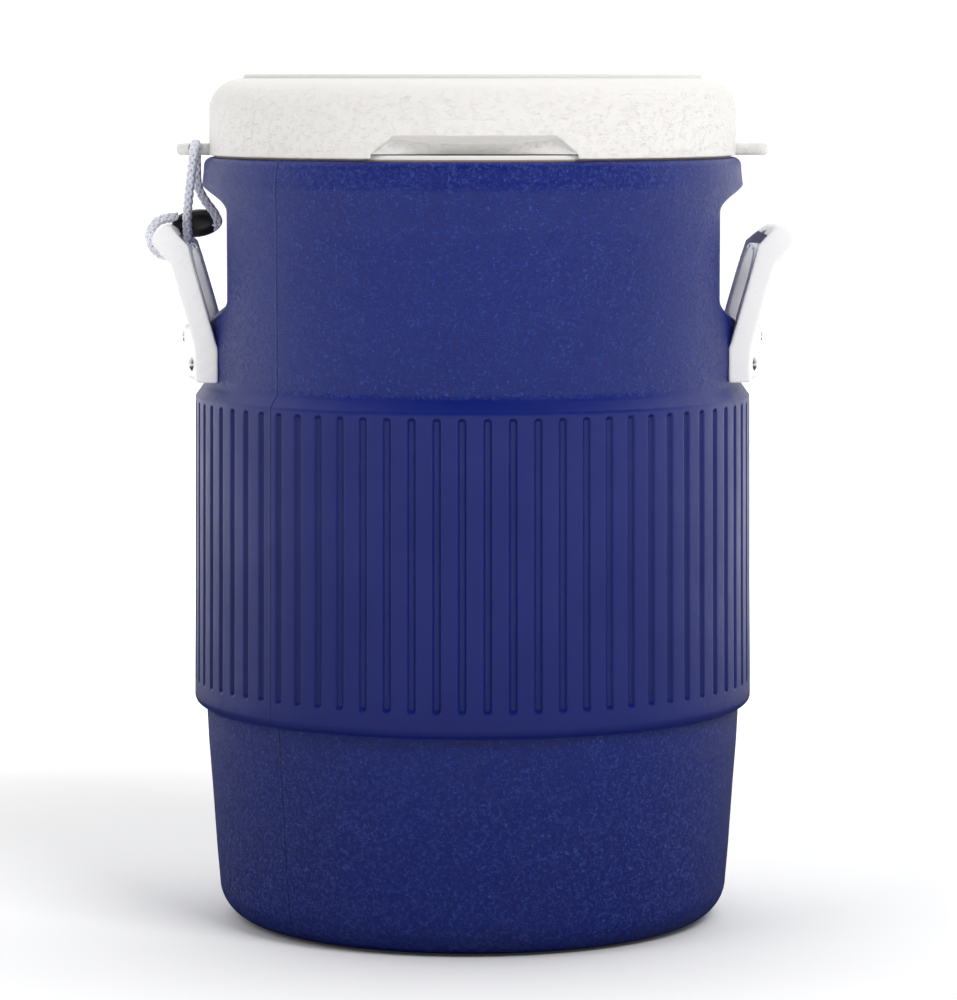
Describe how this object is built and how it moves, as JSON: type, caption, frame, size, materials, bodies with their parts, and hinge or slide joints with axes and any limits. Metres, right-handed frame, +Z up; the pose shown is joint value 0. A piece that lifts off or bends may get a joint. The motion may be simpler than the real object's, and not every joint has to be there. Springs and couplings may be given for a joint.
{
  "type": "insulated beverage dispenser",
  "caption": "Round insulated drink jug with a grooved band, a lift-off seat lid on a lanyard, two riveted side handles and a push-button spigot.",
  "frame": {"origin": "centre of the round base, on the surface the dispenser stands on", "axes": "+Z up along the jug's axis, +Y out through the spigot, +X through the right-hand handle seen from the plain side at -Y"},
  "size_m": [0.3527, 0.3357, 0.4636],
  "materials": {
    "blue_polyethylene": "rotomoulded polyethylene, satin, leather-grained above and below a smooth grooved band",
    "foam": "rigid polyurethane foam",
    "white_liner": "smooth gloss polypropylene",
    "white_textured": "off-white polyethylene with a fine leather grain",
    "white_satin": "satin injection-moulded polypropylene",
    "black_plastic": "black moulded plastic",
    "steel": "stainless steel",
    "sealant": "tan sealing ring",
    "grey_rubber": "soft grey rubber",
    "cord": "white twisted polyester cord"
  },
  "bodies": {
    "dispenser": {"outer_shell": "blue_polyethylene", "body_insulation": "foam", "inner_liner": "white_liner", "rim_seal": "sealant", "foam_fill_plug": "blue_polyethylene", "handle_left": "white_satin", "handle_right": "white_satin", "handle_rivets_left": "steel", "handle_rivets_right": "steel", "rivet_washers_left": "steel", "rivet_washers_right": "steel", "spigot_body": "white_satin", "spigot_outer_gasket": "grey_rubber", "spigot_inner_gasket": "grey_rubber", "spigot_lock_nut": "white_satin", "spigot_bonnet": "white_satin", "spigot_spring": "steel", "retaining_cord": "cord", "cord_clamp": "black_plastic"},
    "lid": {"lid_shell": "white_textured", "lid_insulation": "foam", "lid_liner": "white_liner", "lid_gasket": "grey_rubber"},
    "button": {"spigot_button": "black_plastic", "spigot_stem": "white_satin", "spigot_valve_seal": "grey_rubber", "spigot_seal_retainer": "steel"}
  },
  "joints": [
    {"name": "lid_lift", "type": "slide", "parent": "dispenser", "child": "lid", "axis": [0, 0, 1], "range_m": [0, 0.026], "deforming": ["retaining_cord"]},
    {"name": "spigot_press", "type": "slide", "parent": "dispenser", "child": "button", "axis": [0, -1, 0], "range_m": [0, 0.006], "stiffness_N_per_m": 400, "deforming": ["spigot_spring"]}
  ]
}
